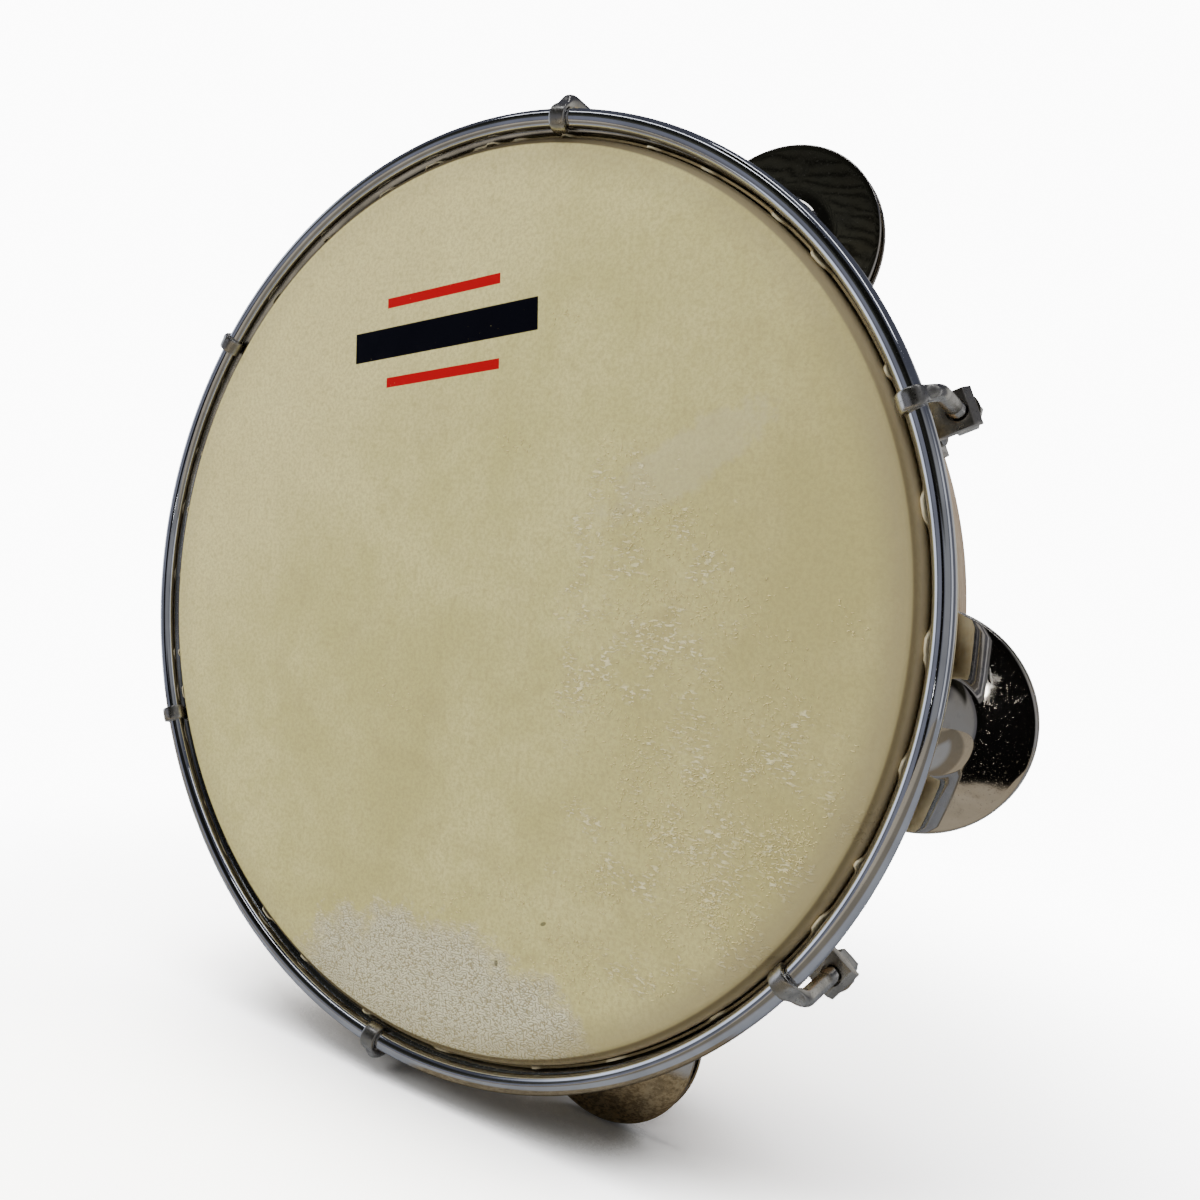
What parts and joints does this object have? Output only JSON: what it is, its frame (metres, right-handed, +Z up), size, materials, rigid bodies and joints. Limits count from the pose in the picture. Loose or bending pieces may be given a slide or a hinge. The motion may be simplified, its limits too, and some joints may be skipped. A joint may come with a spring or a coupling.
{
  "type": "tambourine",
  "caption": "Round hand drum with a skin head on a wooden shell, a rod hoop pulled down by tuning hooks, and sets of loose cupped jingles in slots around the rim.",
  "frame": {"origin": "centre of the playing face of the head, on the skin's outer surface", "axes": "+Z is up with the drum standing on its rim, resting on one lug and one set of jingles; the drum's axis is Y and the playing face looks along -Y, so +Y runs to the open back; +X is to the right seen from the front"},
  "size_m": [0.2831, 0.0531, 0.2808],
  "materials": {
    "shell_wood": "clear satin varnish",
    "skin": "natural drum skin, mottled, faintly hairy, semi-matt",
    "hoop_chrome": "polished chrome",
    "hook_nickel": "dull nickel plate",
    "lug_nickel": "dull nickel plate with bright edges",
    "fastener_steel": "zinc-plated steel",
    "jingle": "bright nickel plate, slightly wavy",
    "damper": "plain rolled steel"
  },
  "bodies": {
    "shell": {"shell": "shell_wood", "head_skin": "skin", "lug_1": "lug_nickel", "lug_2": "lug_nickel", "lug_3": "lug_nickel", "lug_4": "lug_nickel", "lug_5": "lug_nickel", "lug_6": "lug_nickel", "tension_washers": "lug_nickel", "lug_screws": "fastener_steel", "lug_screw_washers": "fastener_steel", "lug_screw_nuts": "fastener_steel"},
    "hoop": {"hoop_rod": "hoop_chrome", "hoop_band": "hoop_chrome", "flesh_hoop": "hoop_chrome", "skin_lap": "skin", "tension_hook_1": "hook_nickel", "tension_hook_2": "hook_nickel", "tension_hook_3": "hook_nickel", "tension_hook_4": "hook_nickel", "tension_hook_5": "hook_nickel", "tension_hook_6": "hook_nickel"},
    "nut_1": {"tension_nut_1": "fastener_steel"},
    "nut_2": {"tension_nut_2": "fastener_steel"},
    "nut_3": {"tension_nut_3": "fastener_steel"},
    "nut_4": {"tension_nut_4": "fastener_steel"},
    "nut_5": {"tension_nut_5": "fastener_steel"},
    "nut_6": {"tension_nut_6": "fastener_steel"},
    "pin_1": {"jingle_pin_1": "fastener_steel"},
    "jingle_front_1": {"jingle_front_1": "jingle"},
    "jingle_damper_1": {"jingle_damper_1": "damper"},
    "jingle_back_1": {"jingle_back_1": "jingle"},
    "pin_2": {"jingle_pin_2": "fastener_steel"},
    "jingle_front_2": {"jingle_front_2": "jingle"},
    "jingle_damper_2": {"jingle_damper_2": "damper"},
    "jingle_back_2": {"jingle_back_2": "jingle"},
    "pin_3": {"jingle_pin_3": "fastener_steel"},
    "jingle_front_3": {"jingle_front_3": "jingle"},
    "jingle_damper_3": {"jingle_damper_3": "damper"},
    "jingle_back_3": {"jingle_back_3": "jingle"},
    "pin_4": {"jingle_pin_4": "fastener_steel"},
    "jingle_front_4": {"jingle_front_4": "jingle"},
    "jingle_damper_4": {"jingle_damper_4": "damper"},
    "jingle_back_4": {"jingle_back_4": "jingle"},
    "pin_5": {"jingle_pin_5": "fastener_steel"},
    "jingle_front_5": {"jingle_front_5": "jingle"},
    "jingle_damper_5": {"jingle_damper_5": "damper"},
    "jingle_back_5": {"jingle_back_5": "jingle"}
  },
  "joints": [
    {"name": "hoop_tension", "type": "slide", "parent": "shell", "child": "hoop", "axis": [0, 1, 0], "range_m": [-0.001, 0.0012]},
    {"name": "nut_1_turn", "type": "hinge", "parent": "shell", "child": "nut_1", "pos_m": [0.12574, 0.026, 0.05389], "axis": [0, 1, 0], "range_deg": [-625, 520]},
    {"name": "nut_2_turn", "type": "hinge", "parent": "shell", "child": "nut_2", "pos_m": [0.02187, 0.026, 0.13504], "axis": [0, 1, 0], "range_deg": [-625, 520]},
    {"name": "nut_3_turn", "type": "hinge", "parent": "shell", "child": "nut_3", "pos_m": [-0.11192, 0.026, 0.07866], "axis": [0, 1, 0], "range_deg": [-625, 520]},
    {"name": "nut_4_turn", "type": "hinge", "parent": "shell", "child": "nut_4", "pos_m": [-0.12574, 0.026, -0.05389], "axis": [0, 1, 0], "range_deg": [-625, 520]},
    {"name": "nut_5_turn", "type": "hinge", "parent": "shell", "child": "nut_5", "pos_m": [-0.0162, 0.026, -0.13584], "axis": [0, 1, 0], "range_deg": [-625, 520]},
    {"name": "nut_6_turn", "type": "hinge", "parent": "shell", "child": "nut_6", "pos_m": [0.10954, 0.026, -0.08195], "axis": [0, 1, 0], "range_deg": [-625, 520]},
    {"name": "jingle_1_spin", "type": "hinge", "parent": "shell", "child": "pin_1", "pos_m": [0.12188, 0.025, -0.018], "axis": [0, 1, 0], "continuous": true},
    {"name": "jingle_front_1_slide", "type": "slide", "parent": "pin_1", "child": "jingle_front_1", "axis": [0, 1, 0], "range_m": [-0.0022, 0.0011]},
    {"name": "jingle_damper_1_slide", "type": "slide", "parent": "pin_1", "child": "jingle_damper_1", "axis": [0, 1, 0], "range_m": [-0.0011, 0.0011]},
    {"name": "jingle_back_1_slide", "type": "slide", "parent": "pin_1", "child": "jingle_back_1", "axis": [0, 1, 0], "range_m": [-0.0011, 0.0022]},
    {"name": "jingle_2_spin", "type": "hinge", "parent": "shell", "child": "pin_2", "pos_m": [0.07619, 0.025, 0.09682], "axis": [0, 1, 0], "continuous": true},
    {"name": "jingle_front_2_slide", "type": "slide", "parent": "pin_2", "child": "jingle_front_2", "axis": [0, 1, 0], "range_m": [-0.0022, 0.0011]},
    {"name": "jingle_damper_2_slide", "type": "slide", "parent": "pin_2", "child": "jingle_damper_2", "axis": [0, 1, 0], "range_m": [-0.0011, 0.0011]},
    {"name": "jingle_back_2_slide", "type": "slide", "parent": "pin_2", "child": "jingle_back_2", "axis": [0, 1, 0], "range_m": [-0.0011, 0.0022]},
    {"name": "jingle_3_spin", "type": "hinge", "parent": "shell", "child": "pin_3", "pos_m": [-0.04853, 0.025, 0.11324], "axis": [0, 1, 0], "continuous": true},
    {"name": "jingle_front_3_slide", "type": "slide", "parent": "pin_3", "child": "jingle_front_3", "axis": [0, 1, 0], "range_m": [-0.0022, 0.0011]},
    {"name": "jingle_damper_3_slide", "type": "slide", "parent": "pin_3", "child": "jingle_damper_3", "axis": [0, 1, 0], "range_m": [-0.0011, 0.0011]},
    {"name": "jingle_back_3_slide", "type": "slide", "parent": "pin_3", "child": "jingle_back_3", "axis": [0, 1, 0], "range_m": [-0.0011, 0.0022]},
    {"name": "jingle_4_spin", "type": "hinge", "parent": "shell", "child": "pin_4", "pos_m": [-0.0738, 0.025, -0.09865], "axis": [0, 1, 0], "continuous": true},
    {"name": "jingle_front_4_slide", "type": "slide", "parent": "pin_4", "child": "jingle_front_4", "axis": [0, 1, 0], "range_m": [-0.0022, 0.0011]},
    {"name": "jingle_damper_4_slide", "type": "slide", "parent": "pin_4", "child": "jingle_damper_4", "axis": [0, 1, 0], "range_m": [-0.0011, 0.0011]},
    {"name": "jingle_back_4_slide", "type": "slide", "parent": "pin_4", "child": "jingle_back_4", "axis": [0, 1, 0], "range_m": [-0.0011, 0.0022]},
    {"name": "jingle_5_spin", "type": "hinge", "parent": "shell", "child": "pin_5", "pos_m": [0.04853, 0.025, -0.11324], "axis": [0, 1, 0], "continuous": true},
    {"name": "jingle_front_5_slide", "type": "slide", "parent": "pin_5", "child": "jingle_front_5", "axis": [0, 1, 0], "range_m": [-0.0022, 0.0011]},
    {"name": "jingle_damper_5_slide", "type": "slide", "parent": "pin_5", "child": "jingle_damper_5", "axis": [0, 1, 0], "range_m": [-0.0011, 0.0011]},
    {"name": "jingle_back_5_slide", "type": "slide", "parent": "pin_5", "child": "jingle_back_5", "axis": [0, 1, 0], "range_m": [-0.0011, 0.0022]}
  ],
  "couplings": [
    {"joint": "nut_1_turn", "follows": "hoop_tension", "rad_per_m": -8976},
    {"joint": "nut_2_turn", "follows": "hoop_tension", "rad_per_m": -8976},
    {"joint": "nut_3_turn", "follows": "hoop_tension", "rad_per_m": -8976},
    {"joint": "nut_4_turn", "follows": "hoop_tension", "rad_per_m": -8976},
    {"joint": "nut_5_turn", "follows": "hoop_tension", "rad_per_m": -8976},
    {"joint": "nut_6_turn", "follows": "hoop_tension", "rad_per_m": -8976}
  ]
}
